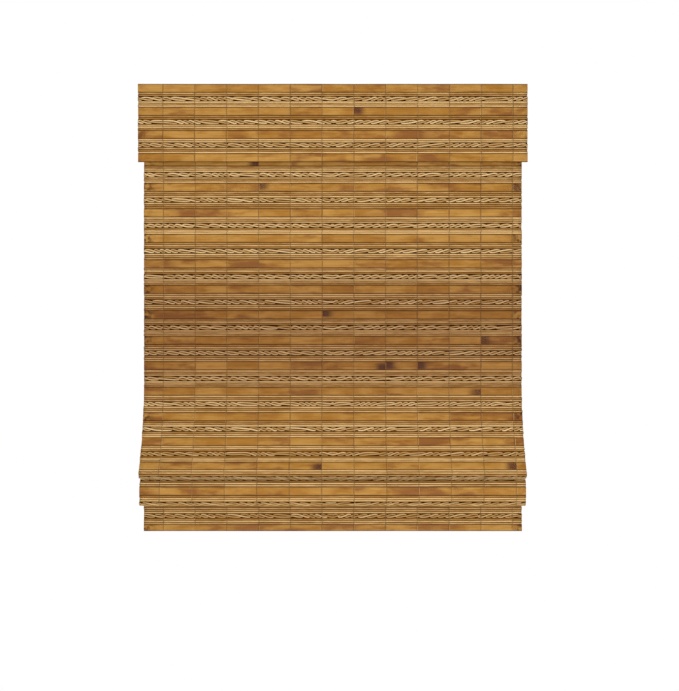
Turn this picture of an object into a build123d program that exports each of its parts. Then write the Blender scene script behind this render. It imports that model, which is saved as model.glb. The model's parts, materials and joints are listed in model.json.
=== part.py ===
from build123d import *
import os
from math import acos, cos, radians, sin

# All lengths are millimetres. The origin is the mounting plane at the middle of the head rail,
# +Z is up and the room side, the front, is -Y.

# Woven wood rows
slat_height = 16.6
slat_thickness = 2.0
reed_pitch = 4.0
reed_thickness = 3.2
twine_height = 9.4
twine_thickness = 4.8
web_thickness = 1.2
reeds_between = 3
head_reeds = 2
panel_repeats = 10
slat_crown_share = 0.95
reed_crown_share = 0.45
twine_crown_share = 0.45

# Sides of the small round pieces
round_sides = 12
small_sides = 8

# Hanging panel: the width of the whole shade follows its mat
mat_width = 742.0
gap_count = 2
gap_height = 0.9
gap_bridge = 20.0

# Valance
valance_overhang = 10.0
valance_reed_pitch = 3.85
valance_upper_reed_count = 2
valance_lower_reed_count = 3
valance_repeats = 3

# Head rail
rail_inset = 2.0
rail_depth = 40.0
rail_height_share = 0.8
rail_wall = 1.2
rail_lip = 5.0
cap_thickness = 2.0
cap_plug_length = 9.0
cap_plug_wall = 2.0
cap_fit = 0.2

# Mounting brackets
bracket_inset = 59.0
bracket_width = 34.0
bracket_plate = 1.5
bracket_hook = 1.2
bracket_front_inset = 3.0
bracket_rear_fit = 0.2
bracket_leg_height = 26.0
bracket_hook_fit = 0.3
bracket_toe = 2.8
bracket_hole_radius = 2.5
bracket_hole_y = 11.0

# Mat head: mounting tape, clamp batten, valance tape and screws
tape_thickness = 2.0
tape_height = 15.0
tape_inset = 4.0
batten_thickness = 5.0
batten_height = 14.6
valance_tape_thickness = 1.5
valance_tape_height = 12.0
mat_top_drop = 0.5
clamp_screw_radius = 1.7
clamp_screw_head_radius = 3.2
clamp_screw_head_height = 1.4
clamp_screw_tail = 4.0
clamp_screw_fit = 0.15
clamp_screw_inset = 29.0
clamp_screw_count = 5

# Lift gear in the head rail
station_inset = 119.0
cord_radius = 0.7
cord_fit = 0.1
spool_radius_share = 0.3021
spool_length = 20.0
spool_flange_share = 0.3776
spool_flange = 1.5
spool_hub_share = 0.139
spool_hub_length = 6.0
shaft_flats_share = 0.1813
shaft_fit = 0.1
shaft_inset = 49.0
cradle_base = 1.5
cradle_ear = 3.0
cradle_ear_gap = 0.8
cradle_ear_width = 13.0
cradle_ear_top = 7.0
cradle_rear_reach = 8.0
cradle_front_fit = 0.4
bearing_fit = 0.2
snout_radius = 2.8
snout_bore_radius = 1.6
snout_fit = 0.2
snout_below = 1.5

# Spring motor
motor_place_share = 0.5
motor_length = 36.0
motor_wall = 1.2
motor_front_share = 0.2931
motor_rear_share = 0.2266
motor_top_drop = 6.0
motor_cover = 1.4
drum_length = 24.0
drum_flange = 1.2
drive_share = 0.1692
drive_coil_share = 0.1994
drive_flange_share = 0.2356
storage_share = 0.1027
storage_coil_share = 0.1571
storage_flange_share = 0.1752
storage_axle_share = 0.0453
drum_spacing_share = 0.429
spring_width = 20.0
spring_thickness = 0.3
spring_fit = 0.1
coil_fit = 0.1

# Folded lower mat
flare_radius = 331.0
flare_angle = 33.0
level_angle = 90.0
tip_radius = 8.0
ring_bend_radius = 6.5
first_return_slope = 26.0
first_forward_slope = 18.0
second_return_slope = 38.5
shoulder_radius = 16.0
second_fold_setback = 7.7
second_fold_drop = 53.8
hem_drop = 57.5

# Rings, cord stops and hem bar
ring_radius = 5.0
ring_wire_radius = 1.0
ring_fit = 0.3
ring_row_repeats = 4
stop_radius = 4.8
stop_height = 8.0
stop_foot_radius = 3.0
stop_fit = 0.2
hem_bar_height = 26.0
hem_bar_thickness = 6.0
hem_bar_inset = 3.0
hem_bar_rise = 2.5
hem_bar_round = 1.0
hem_pin_radius = 1.3
hem_pin_rise = 5.0
hem_pin_depth = 1.0
hem_pin_fit = 0.1
hem_pin_inset = 38.0
hem_pin_count = 5

# Lengths and places across the width that follow from the sizes above
valance_width = mat_width + 2 * valance_overhang
rail_length = mat_width - 2 * rail_inset
hem_bar_length = mat_width - 2 * hem_bar_inset
shaft_length = rail_length - 2 * shaft_inset
bracket_x = rail_length / 2 - bracket_inset
station_x = rail_length / 2 - station_inset
motor_x = motor_place_share * station_x
stations = {"left": -station_x, "middle": 0, "right": station_x}

# Levels and depths that follow from the sizes above
rail_height = rail_height_share * rail_depth
rail_top = -bracket_plate
rail_bottom = rail_top - rail_height
rail_floor = rail_bottom + rail_wall
rail_front = -rail_depth / 2
mat_top = rail_top - mat_top_drop
mat_y = rail_front - tape_thickness - slat_thickness / 2
batten_front = mat_y - slat_thickness / 2 - batten_thickness
valance_y = batten_front - valance_tape_thickness - slat_thickness / 2
cord_y = mat_y + twine_thickness / 2 + ring_fit + ring_radius + ring_wire_radius

# The lift gear takes its size from the room that the rail leaves behind the cords
gear_room = rail_depth / 2 - rail_wall - cord_y
spool_radius = spool_radius_share * gear_room
spool_flange_radius = spool_flange_share * gear_room
spool_hub_radius = spool_hub_share * gear_room
shaft_flats = shaft_flats_share * gear_room
motor_front = motor_front_share * gear_room
motor_rear = motor_rear_share * gear_room
drive_radius = drive_share * gear_room
drive_coil_radius = drive_coil_share * gear_room
drive_flange_radius = drive_flange_share * gear_room
storage_radius = storage_share * gear_room
storage_coil_radius = storage_coil_share * gear_room
storage_flange_radius = storage_flange_share * gear_room
storage_axle_radius = storage_axle_share * gear_room
drum_spacing = drum_spacing_share * gear_room
axis_y = cord_y + cord_radius + cord_fit + spool_radius
axis_z = rail_top - rail_height / 2

os.makedirs("parts", exist_ok=True)


def save(shape, name):
    export_step(shape, os.path.join("parts", name + ".step"))


def evenly(span, count):
    return [span * (index / (count - 1) - 1 / 2) for index in range(count)]


# Few-sided rods and holes: a rod stays inside its radius, a hole stays clear of it
axis_planes = {"x": Plane.YZ, "y": Plane.XZ, "z": Plane.XY}
across = (0, level_angle, 0)


def rod(radius, length, axis, sides=round_sides):
    section = axis_planes[axis] * RegularPolygon(radius, sides)
    return extrude(section, amount=length / 2, both=True)


def hole(radius, length, axis, sides=round_sides):
    section = axis_planes[axis] * RegularPolygon(radius, sides, major_radius=False)
    return extrude(section, amount=length / 2, both=True)


# A woven row is (height, thickness, share of the height that its flat crown takes)
slat = (slat_height, slat_thickness, slat_crown_share)
reed = (reed_pitch, reed_thickness, reed_crown_share)
valance_reed = (valance_reed_pitch, reed_thickness, reed_crown_share)
twine = (twine_height, twine_thickness, twine_crown_share)
repeat_rows = [slat] + reeds_between * [reed] + [twine] + reeds_between * [reed]
head_rows = [slat] + head_reeds * [reed] + [twine] + head_reeds * [reed]
repeat_height = sum(row[0] for row in repeat_rows)
head_height = sum(row[0] for row in head_rows)


# The side path of a mat: straight legs and arcs, heading 0 is down, a positive turn bends forward
class MatPath:
    def __init__(self, height):
        self.legs = []
        self.length = 0
        self.pen = (0, height, 0)

    def line(self, length):
        self.legs.append((self.length, self.pen, length, 0, 0))
        self.length += length
        self.pen = self.at(self.length)

    def arc(self, radius, turn):
        self.legs.append((self.length, self.pen, radius * radians(abs(turn)), radius, turn))
        self.length += radius * radians(abs(turn))
        self.pen = self.at(self.length)

    def at(self, distance):
        leg = [leg for leg in self.legs if leg[0] <= distance][-1]
        begin, (forward, height, heading), length, radius, turn = leg
        if turn == 0:
            run = distance - begin
            return (forward + run * sin(radians(heading)), height - run * cos(radians(heading)), heading)
        side = 1 if turn > 0 else -1
        last = heading + turn * (distance - begin) / length
        forward += side * radius * (cos(radians(heading)) - cos(radians(last)))
        height += side * radius * (sin(radians(heading)) - sin(radians(last)))
        return (forward, height, last)

    # A straight run back that leaves a bend of this radius level with the hanging panel
    def run_back(self, slope, radius):
        rise = sin(radians(slope))
        self.line((self.pen[0] - radius - radius * rise) / cos(radians(slope)))


# One ridged wall: the rows follow the path, each row a crown on the web on both sides
def mat_wall(rows, path, depth, width):
    front, back = [], []

    def point(distance, offset):
        forward, height, heading = path.at(distance)
        forward += offset * cos(radians(heading))
        height += offset * sin(radians(heading))
        return (-width / 2, depth - forward, height)

    def add(distance, half):
        front.append(point(distance, half))
        back.append(point(distance, -half))

    start = 0
    for height, thickness, share in rows:
        end = min(start + height, path.length)
        if end <= start:
            break
        margin = (1 - share) * height / 2
        add(start, web_thickness / 2)
        add(min(start + margin, end), thickness / 2)
        if end - margin > start + margin:
            add(end - margin, thickness / 2)
        start = end
    add(start, web_thickness / 2)
    outline = Wire.make_polygon(front + back[::-1], close=True)
    return extrude(Face(outline), amount=width, dir=(1, 0, 0))


# Valance: a short mat that starts and ends with a slat
valance_group = [slat] + valance_upper_reed_count * [valance_reed] + [twine]
valance_group = valance_group + valance_lower_reed_count * [valance_reed]
valance_rows = valance_repeats * valance_group + [slat]
valance_path = MatPath(rail_top)
valance_path.line(sum(row[0] for row in valance_rows))
save(mat_wall(valance_rows, valance_path, valance_y, valance_width), "valance_mat")

# Screw places along the mat head
screw_xs = evenly(rail_length - 2 * clamp_screw_inset, clamp_screw_count)
screw_z = mat_top - slat_height / 2
screw_hole_radius = clamp_screw_radius + clamp_screw_fit


def screw_holes(radius, y_front, y_back):
    length = y_back - y_front
    screw_hole = hole(radius, length, "y", small_sides)
    return [Pos(x, y_front + length / 2, screw_z) * screw_hole for x in screw_xs]


# Hanging panel with light gaps beside its slats
panel_rows = head_rows + panel_repeats * repeat_rows + [slat] + reeds_between * [reed]
panel_path = MatPath(mat_top)
panel_path.line(sum(row[0] for row in panel_rows))
panel = mat_wall(panel_rows, panel_path, mat_y, mat_width)
gap_pitch = mat_width / gap_count
light_gap = Box(gap_pitch - gap_bridge, 2 * twine_thickness, gap_height)
gaps = []
for row_index in range(panel_repeats):
    gap_z = mat_top - head_height - row_index * repeat_height - slat_height
    gaps = gaps + [Pos(x, mat_y, gap_z) * light_gap for x in evenly(mat_width - gap_pitch, gap_count)]
panel = panel - gaps - screw_holes(screw_hole_radius, mat_y - slat_thickness, mat_y + slat_thickness)
save(panel, "woven_panel")
panel_bottom = mat_top - panel_path.length

# Folded lower mat: it flares forward, rolls under twice and hangs down as the hem
fold_path = MatPath(panel_bottom)
fold_path.arc(flare_radius, flare_angle)
fold_path.arc(tip_radius, -flare_angle)
second_fold_forward = fold_path.pen[0] - second_fold_setback
fold_path.arc(tip_radius, -level_angle)
second_fold_bottom = fold_path.pen[1] - second_fold_drop
hem_bottom = second_fold_bottom - hem_drop
fold_path.arc(tip_radius, -first_return_slope)
fold_path.run_back(first_return_slope, ring_bend_radius)
fold_path.arc(ring_bend_radius, level_angle + first_return_slope)
upper_bend = fold_path.pen
shoulder_turn = level_angle - first_forward_slope
fold_path.arc(ring_bend_radius, shoulder_turn)
shoulder_gain = shoulder_radius * (1 - cos(radians(shoulder_turn)))
fold_path.line((second_fold_forward - fold_path.pen[0] - shoulder_gain) / sin(radians(shoulder_turn)))
fold_path.arc(shoulder_radius, -shoulder_turn)
fold_path.line(fold_path.pen[1] - second_fold_bottom - tip_radius)
fold_path.arc(tip_radius, -(level_angle + second_return_slope))
fold_path.run_back(second_return_slope, ring_bend_radius)
fold_path.arc(ring_bend_radius, level_angle + second_return_slope)
lower_bend = fold_path.pen
fold_path.line(fold_path.pen[1] - hem_bottom)
fold_rows = [twine] + reeds_between * [reed] + 2 * panel_repeats * repeat_rows
fold_stack = mat_wall(fold_rows, fold_path, mat_y, mat_width)
pin_z = hem_bottom + hem_pin_rise
pin_xs = evenly(hem_bar_length - 2 * hem_pin_inset, hem_pin_count)
pin_front = mat_y + slat_thickness / 2 - hem_pin_depth
bar_front = mat_y + twine_thickness / 2
pin_hole = hole(hem_pin_radius + hem_pin_fit, bar_front - pin_front, "y", small_sides)
fold_stack = fold_stack - [Pos(x, (pin_front + bar_front) / 2, pin_z) * pin_hole for x in pin_xs]
save(fold_stack, "fold_stack")

# Hem bar behind the hem, and the pins that hold it
bar_z = hem_bottom + hem_bar_rise + hem_bar_height / 2
hem_bar = Box(hem_bar_length, hem_bar_thickness, hem_bar_height)
hem_bar = chamfer(hem_bar.edges().filter_by(Axis.X), hem_bar_round)
hem_bar = Pos(0, bar_front + hem_bar_thickness / 2, bar_z) * hem_bar
bar_hole = hole(hem_pin_radius + hem_pin_fit, 2 * hem_bar_thickness, "y", small_sides)
hem_bar = hem_bar - [Pos(x, bar_front + hem_bar_thickness / 2, pin_z) * bar_hole for x in pin_xs]
save(hem_bar, "hem_bar")
pin_length = bar_front + hem_bar_thickness - pin_front
pin = rod(hem_pin_radius, pin_length, "y", small_sides)
pin_y = pin_front + pin_length / 2
save(Compound([Pos(x, pin_y, pin_z) * pin for x in pin_xs]), "hem_pins")

# Rings of each row, on the twine or reed behind them, with the cord running through them
ring_height = 2 * ring_wire_radius
ring = rod(ring_radius + ring_wire_radius, ring_height, "z")
ring = ring - hole(ring_radius - ring_wire_radius, 2 * ring_height, "z")
panel_row_drop = head_height + ring_row_repeats * repeat_height + slat_height + reeds_between * reed_pitch
ring_rows = {
    "panel_rings": (mat_top - panel_row_drop - twine_height / 2, twine_thickness),
    "fold_rings": (panel_bottom - twine_height / 2, twine_thickness),
    "bend_rings": (upper_bend[1], reed_thickness),
    "hem_rings": (lower_bend[1], reed_thickness),
}
for row_name, (level, thickness) in ring_rows.items():
    ring_y = mat_y + thickness / 2 + ring_fit + ring_radius + ring_wire_radius
    save(Compound([Pos(x, ring_y, level) * ring for x in stations.values()]), row_name)

# Cord stops under the hem rings, and the three lift cords
stop_top = ring_rows["hem_rings"][0] - ring_wire_radius - stop_fit
stop_head = RegularPolygon(stop_radius, round_sides)
stop_foot = Pos(0, 0, -stop_height) * RegularPolygon(stop_foot_radius, round_sides)
stop = loft([stop_foot, stop_head])
save(Compound([Pos(x, cord_y, stop_top) * stop for x in stations.values()]), "cord_stops")
cord_length = axis_z - stop_top
for side, x in stations.items():
    cord = Pos(x, cord_y, axis_z - cord_length / 2) * rod(cord_radius, cord_length, "z", small_sides)
    save(cord, "lift_cord_" + side)

# Head rail: an open channel with turned-in lips
half_depth = rail_depth / 2
inner_half = half_depth - rail_wall
lip_half = half_depth - rail_lip
lip_under = rail_top - rail_wall
rail_side = [
    (half_depth, rail_floor),
    (half_depth, rail_top),
    (lip_half, rail_top),
    (lip_half, lip_under),
    (inner_half, lip_under),
    (inner_half, rail_floor),
]
rail_outline = [(half_depth, rail_bottom)] + rail_side[1:]
rail_outline = rail_outline + [(-y, z) for y, z in rail_outline[::-1]]


def x_prism(outline, x_start, length):
    wire = Wire.make_polygon([(x_start, y, z) for y, z in outline], close=True)
    return extrude(Face(wire), amount=length, dir=(1, 0, 0))


head_rail = x_prism(rail_outline, -rail_length / 2, rail_length)
cord_hole = hole(snout_radius + snout_fit, 2 * rail_wall, "z")
head_rail = head_rail - [Pos(x, cord_y, rail_bottom) * cord_hole for x in stations.values()]
head_rail = head_rail - screw_holes(screw_hole_radius, rail_front - rail_wall, rail_front + 2 * rail_wall)
save(head_rail, "head_rail")

# End caps: a plate over the end and a hollow plug inside it
plug_depth = 2 * (inner_half - cap_fit)
plug_top = lip_under - cap_fit
plug_height = plug_top - rail_floor - cap_fit
plug = Box(cap_plug_length, plug_depth, plug_height)
plug = plug - Box(2 * cap_plug_length, plug_depth - 2 * cap_plug_wall, plug_height - 2 * cap_plug_wall)
cap_plate = Pos(0, 0, rail_top - rail_height / 2) * Box(cap_thickness, rail_depth, rail_height)
plug_z = plug_top - plug_height / 2
for side, sign in (("left", -1), ("right", 1)):
    plate = Pos(sign * (rail_length + cap_thickness) / 2, 0, 0) * cap_plate
    cap = plate + Pos(sign * (rail_length - cap_plug_length) / 2, 0, plug_z) * plug
    save(cap, "end_cap_" + side)

# Brackets: a top plate with two hooks under the rail lips and a leg down the back
bracket_front_reach = half_depth - bracket_front_inset
hook_out = lip_half - bracket_hook_fit
hook_in = hook_out - bracket_hook
toe_top = lip_under - bracket_hook_fit
toe_under = toe_top - bracket_hook
toe_end = hook_out + bracket_toe
leg_front = half_depth + bracket_rear_fit
leg_back = leg_front + bracket_plate
bracket_outline = [
    (-bracket_front_reach, 0),
    (leg_back, 0),
    (leg_back, -bracket_leg_height),
    (leg_front, -bracket_leg_height),
    (leg_front, rail_top),
    (hook_out, rail_top),
    (hook_out, toe_top),
    (toe_end, toe_top),
    (toe_end, toe_under),
    (hook_in, toe_under),
    (hook_in, rail_top),
    (-hook_in, rail_top),
    (-hook_in, toe_under),
    (-toe_end, toe_under),
    (-toe_end, toe_top),
    (-hook_out, toe_top),
    (-hook_out, rail_top),
    (-bracket_front_reach, rail_top),
]
for side, sign in (("left", -1), ("right", 1)):
    bracket = x_prism(bracket_outline, sign * bracket_x - bracket_width / 2, bracket_width)
    bolt_hole = Cylinder(bracket_hole_radius, 2 * bracket_leg_height)
    bracket = bracket - [Pos(sign * bracket_x, y, 0) * bolt_hole for y in (-bracket_hole_y, bracket_hole_y)]
    save(bracket, "bracket_" + side)

# Mounting tape, clamp batten and valance tape, with countersunk screws through the first two
tape_length = rail_length - 2 * tape_inset
mat_tape = Pos(0, rail_front - tape_thickness / 2, screw_z) * Box(tape_length, tape_thickness, tape_height)
mat_tape = mat_tape - screw_holes(screw_hole_radius, mat_y, rail_front + tape_thickness)
save(mat_tape, "mat_tape")
batten_y = batten_front + batten_thickness / 2
batten = Pos(0, batten_y, screw_z) * Box(rail_length, batten_thickness, batten_height)
batten = batten - screw_holes(screw_hole_radius, batten_front - batten_thickness, rail_front)
head_hole_radius = clamp_screw_head_radius + clamp_screw_fit
head_seat = batten_front + clamp_screw_head_height
batten = batten - screw_holes(head_hole_radius, batten_front - batten_thickness, head_seat)
save(batten, "clamp_batten")
valance_tape_y = batten_front - valance_tape_thickness / 2
valance_tape = Box(tape_length, valance_tape_thickness, valance_tape_height)
save(Pos(0, valance_tape_y, screw_z) * valance_tape, "valance_tape")
shank_end = rail_front + rail_wall + clamp_screw_tail
shank_length = shank_end - batten_front
shank = rod(clamp_screw_radius, shank_length, "y", small_sides)
head = rod(clamp_screw_head_radius, clamp_screw_head_height, "y", small_sides)
screw = Pos(0, batten_front + shank_length / 2, 0) * shank
screw = screw + Pos(0, batten_front + clamp_screw_head_height / 2, 0) * head
save(Compound([Pos(x, 0, screw_z) * screw for x in screw_xs]), "clamp_screws")

# Lift shaft, and the cord spools keyed on it
shaft_section = RegularPolygon(shaft_flats / 2, 6, major_radius=False)
shaft = extrude(Plane.YZ * shaft_section, amount=shaft_length / 2, both=True)
save(Pos(0, axis_y, axis_z) * shaft, "lift_shaft")
bore_section = RegularPolygon(shaft_flats / 2 + shaft_fit, 6, major_radius=False)
bore = extrude(Plane.YZ * bore_section, amount=shaft_length, both=True)


def flanged(core, flange, length, thickness):
    ends = rod(flange, thickness, "x")
    place = (length + thickness) / 2
    drum = rod(core, length, "x")
    return drum + Pos(place, 0, 0) * ends + Pos(-place, 0, 0) * ends


hub_span = spool_length + 2 * spool_flange + 2 * spool_hub_length
spool = flanged(spool_radius, spool_flange_radius, spool_length, spool_flange)
spool = spool + rod(spool_hub_radius, hub_span, "x") - bore
for side, x in stations.items():
    save(Pos(x, axis_y, axis_z) * spool, "cord_spool_" + side)

# Spool cradles: a base with two bearing ears, and a snout that leads the cord out
ear_inner = spool_length / 2 + spool_flange + cradle_ear_gap
ear_place = ear_inner + cradle_ear / 2
base_length = 2 * (ear_inner + cradle_ear)
base_front = -inner_half + cradle_front_fit
base_depth = cradle_rear_reach - base_front
base_top = rail_floor + cradle_base
ear_height = axis_z + cradle_ear_top - rail_floor
ear = Pos(0, axis_y, rail_floor + ear_height / 2) * Box(cradle_ear, cradle_ear_width, ear_height)
cradle = Box(base_length, base_depth, cradle_base)
cradle = Pos(0, base_front + base_depth / 2, rail_floor + cradle_base / 2) * cradle
cradle = cradle + Pos(ear_place, 0, 0) * ear + Pos(-ear_place, 0, 0) * ear
snout_length = base_top - rail_bottom + snout_below
snout_z = base_top - snout_length / 2
cradle = cradle + Pos(0, cord_y, snout_z) * rod(snout_radius, snout_length, "z", small_sides)
cradle = cradle - Pos(0, cord_y, snout_z) * hole(snout_bore_radius, 2 * snout_length, "z", small_sides)
ear_bore = hole(spool_hub_radius + bearing_fit, 2 * base_length, "x")
cradle = cradle - Pos(0, axis_y, axis_z) * ear_bore
for side, x in stations.items():
    save(Pos(x, 0, 0) * cradle, "spool_cradle_" + side)

# Spring motor: an open case, its cover, two drums and the spring between them
storage_y = axis_y + drum_spacing
motor_depth = motor_front + drum_spacing + motor_rear
motor_y = (axis_y - motor_front + storage_y + motor_rear) / 2
motor_height = rail_top - motor_top_drop - rail_floor
motor_z = rail_floor + motor_height / 2
case = Box(motor_length, motor_depth, motor_height)
hollow = Box(motor_length - 2 * motor_wall, motor_depth - 2 * motor_wall, motor_height)
case = Pos(motor_x, motor_y, motor_z) * (case - Pos(0, 0, motor_wall) * hollow)
drive_hole = Cylinder(spool_hub_radius + bearing_fit, 2 * motor_length, rotation=across)
axle_hole = Cylinder(storage_axle_radius + bearing_fit, 2 * motor_length, rotation=across)
case = case - Pos(motor_x, axis_y, axis_z) * drive_hole - Pos(motor_x, storage_y, axis_z) * axle_hole
save(case, "motor_case")
cover_z = rail_floor + motor_height + motor_cover / 2
cover = Pos(motor_x, motor_y, cover_z) * Box(motor_length, motor_depth, motor_cover)
save(cover, "motor_cover")
drum_core = drum_length - 2 * drum_flange
drive = flanged(drive_radius, drive_flange_radius, drum_core, drum_flange)
drive = drive + Cylinder(spool_hub_radius, motor_length, rotation=across) - bore
save(Pos(motor_x, axis_y, axis_z) * drive, "drive_drum")
storage = flanged(storage_radius, storage_flange_radius, drum_core, drum_flange)
storage = storage + Cylinder(storage_axle_radius, motor_length, rotation=across)
save(Pos(motor_x, storage_y, axis_z) * storage, "storage_drum")


def coil(outer, inner):
    return rod(outer, spring_width, "x") - hole(inner + coil_fit, 2 * spring_width, "x")


save(Pos(motor_x, axis_y, axis_z) * coil(drive_coil_radius, drive_radius), "drive_coil")
save(Pos(motor_x, storage_y, axis_z) * coil(storage_coil_radius, storage_radius), "storage_coil")

# The free length of spring crosses from the top of one coil to the underside of the other
drive_reach = drive_coil_radius + spring_fit + spring_thickness / 2
storage_reach = storage_coil_radius + spring_fit + spring_thickness / 2
lean = acos((drive_reach + storage_reach) / drum_spacing)
top_point = (axis_y + drive_reach * cos(lean), axis_z + drive_reach * sin(lean))
low_point = (storage_y - storage_reach * cos(lean), axis_z - storage_reach * sin(lean))
thick_y = spring_thickness / 2 * cos(lean)
thick_z = spring_thickness / 2 * sin(lean)
band_outline = [
    (top_point[0] - thick_y, top_point[1] - thick_z),
    (low_point[0] - thick_y, low_point[1] - thick_z),
    (low_point[0] + thick_y, low_point[1] + thick_z),
    (top_point[0] + thick_y, top_point[1] + thick_z),
]
save(x_prism(band_outline, motor_x - spring_width / 2, spring_width), "spring_band")
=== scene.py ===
import json
import math

import bmesh
import bpy
import numpy as np
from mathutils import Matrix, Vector


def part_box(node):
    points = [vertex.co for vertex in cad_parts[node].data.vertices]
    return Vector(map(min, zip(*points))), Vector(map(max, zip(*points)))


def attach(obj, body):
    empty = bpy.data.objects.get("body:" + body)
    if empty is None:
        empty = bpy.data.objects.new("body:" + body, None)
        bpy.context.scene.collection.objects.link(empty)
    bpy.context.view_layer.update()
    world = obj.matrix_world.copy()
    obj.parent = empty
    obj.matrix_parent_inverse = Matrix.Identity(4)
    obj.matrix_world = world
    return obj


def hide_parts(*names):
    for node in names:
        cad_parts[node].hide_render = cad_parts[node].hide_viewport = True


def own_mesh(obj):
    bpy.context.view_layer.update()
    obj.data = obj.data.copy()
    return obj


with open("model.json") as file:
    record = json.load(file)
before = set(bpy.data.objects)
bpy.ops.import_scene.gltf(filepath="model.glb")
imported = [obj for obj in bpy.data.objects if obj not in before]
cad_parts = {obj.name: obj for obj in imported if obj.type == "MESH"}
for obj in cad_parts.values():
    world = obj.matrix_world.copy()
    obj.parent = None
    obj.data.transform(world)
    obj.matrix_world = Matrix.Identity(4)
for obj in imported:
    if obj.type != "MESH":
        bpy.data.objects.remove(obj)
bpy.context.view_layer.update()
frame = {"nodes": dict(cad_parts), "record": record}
print("frame loaded:", len(frame["nodes"]), "nodes")

mm = 0.001
draws = np.random.default_rng(11)  # a fixed seed, so that every run weaves the same mats

# woven rows, in millimetres, as in the part's source
weave = {
    "slatHeight": 16.6,
    "reedPitch": 4.0,
    "twineHeight": 9.4,
    "reedsBetween": 3,
    "headReeds": 2,
    "panelRepeats": 10,
    "valanceReedPitch": 3.85,
    "valanceReedsAbove": 2,
    "valanceReedsBelow": 3,
    "valanceRepeats": 3,
    "matWidth": 742.0,
    "valanceWidth": 762.0,
    "matTop": -2.0,
    "matDepth": -23.0,
    "valanceTop": -1.5,
    "valanceDepth": -31.5,
    "liftTravel": 430.0,
}
# side shape of the folded lower mat, in millimetres and degrees
folds = {
    "flareRadius": 331.0,
    "flareAngle": 33.0,
    "tipRadius": 8.0,
    "ringBend": 6.5,
    "firstSlope": 26.0,
    "forwardSlope": 18.0,
    "secondSlope": 38.5,
    "shoulderRadius": 16.0,
    "secondSetback": 7.7,
    "secondDrop": 53.8,
    "hemDrop": 57.5,
}


def turned(angle):
    return math.cos(math.radians(angle)), math.sin(math.radians(angle))


# straight legs and arcs seen from the side: heading 0 is down, a positive turn bends to the room
class SidePath:
    def __init__(self, height):
        self.legs = []
        self.length = 0.0
        self.pen = (0.0, height, 0.0)

    def leg(self, length, radius, turn):
        self.legs.append((self.length, self.pen, length, radius, turn))
        self.length += length
        self.pen = self.at(self.length)

    def line(self, length):
        self.leg(length, 0.0, 0.0)

    def arc(self, radius, turn):
        self.leg(radius * math.radians(abs(turn)), radius, turn)

    def runBack(self, slope, radius):
        run, rise = turned(slope)
        self.line((self.pen[0] - radius - radius * rise) / run)

    def at(self, distance):
        begun = [leg for leg in self.legs if leg[0] <= distance] or self.legs[:1]
        begin, (forward, height, heading), length, radius, turn = begun[-1]
        c0, s0 = turned(heading)
        if turn == 0:
            run = distance - begin
            return forward + run * s0, height - run * c0, heading
        side = 1 if turn > 0 else -1
        last = heading + turn * (distance - begin) / length
        c1, s1 = turned(last)
        return forward + side * radius * (c0 - c1), height + side * radius * (s0 - s1), last


def repeatRows(above, below, pitch):
    reed = ("reed", pitch)
    slat = ("slat", weave["slatHeight"])
    twine = ("twine", weave["twineHeight"])
    return [slat] + above * [reed] + [twine] + below * [reed]


between = weave["reedsBetween"]
fullRepeat = repeatRows(between, between, weave["reedPitch"])
headRepeat = repeatRows(weave["headReeds"], weave["headReeds"], weave["reedPitch"])
panelRows = headRepeat + weave["panelRepeats"] * fullRepeat + fullRepeat[: 1 + between]
foldRows = fullRepeat[1 + between :] + 2 * weave["panelRepeats"] * fullRepeat
valanceRepeat = repeatRows(weave["valanceReedsAbove"], weave["valanceReedsBelow"], weave["valanceReedPitch"])
valanceRows = weave["valanceRepeats"] * valanceRepeat + valanceRepeat[:1]

panelPath = SidePath(weave["matTop"])
panelPath.line(sum(row[1] for row in panelRows))
valancePath = SidePath(weave["valanceTop"])
valancePath.line(sum(row[1] for row in valanceRows))

foldPath = SidePath(weave["matTop"] - panelPath.length)
foldPath.arc(folds["flareRadius"], folds["flareAngle"])
foldPath.arc(folds["tipRadius"], -folds["flareAngle"])
secondForward = foldPath.pen[0] - folds["secondSetback"]
foldPath.arc(folds["tipRadius"], -90)
secondBottom = foldPath.pen[1] - folds["secondDrop"]
hemBottom = secondBottom - folds["hemDrop"]
foldPath.arc(folds["tipRadius"], -folds["firstSlope"])
foldPath.runBack(folds["firstSlope"], folds["ringBend"])
foldPath.arc(folds["ringBend"], 90 + folds["firstSlope"])
shoulderTurn = 90 - folds["forwardSlope"]
foldPath.arc(folds["ringBend"], shoulderTurn)
shoulderRun, shoulderRise = turned(shoulderTurn)
shoulderGain = folds["shoulderRadius"] * (1 - shoulderRun)
foldPath.line((secondForward - foldPath.pen[0] - shoulderGain) / shoulderRise)
foldPath.arc(folds["shoulderRadius"], -shoulderTurn)
foldPath.line(foldPath.pen[1] - secondBottom - folds["tipRadius"])
foldPath.arc(folds["tipRadius"], -(90 + folds["secondSlope"]))
foldPath.runBack(folds["secondSlope"], folds["ringBend"])
foldPath.arc(folds["ringBend"], 90 + folds["secondSlope"])
foldPath.line(foldPath.pen[1] - hemBottom)


leastRow = 1.0  # millimetres: what is left of a row at the mat's end, if less, is dropped


def placedRows(rows, path):
    placed, start = [], 0.0
    for kind, height in rows:
        end = min(start + height, path.length)
        if end - start < leastRow:
            break
        placed.append((kind, start, end))
        start = end
    return placed


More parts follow.
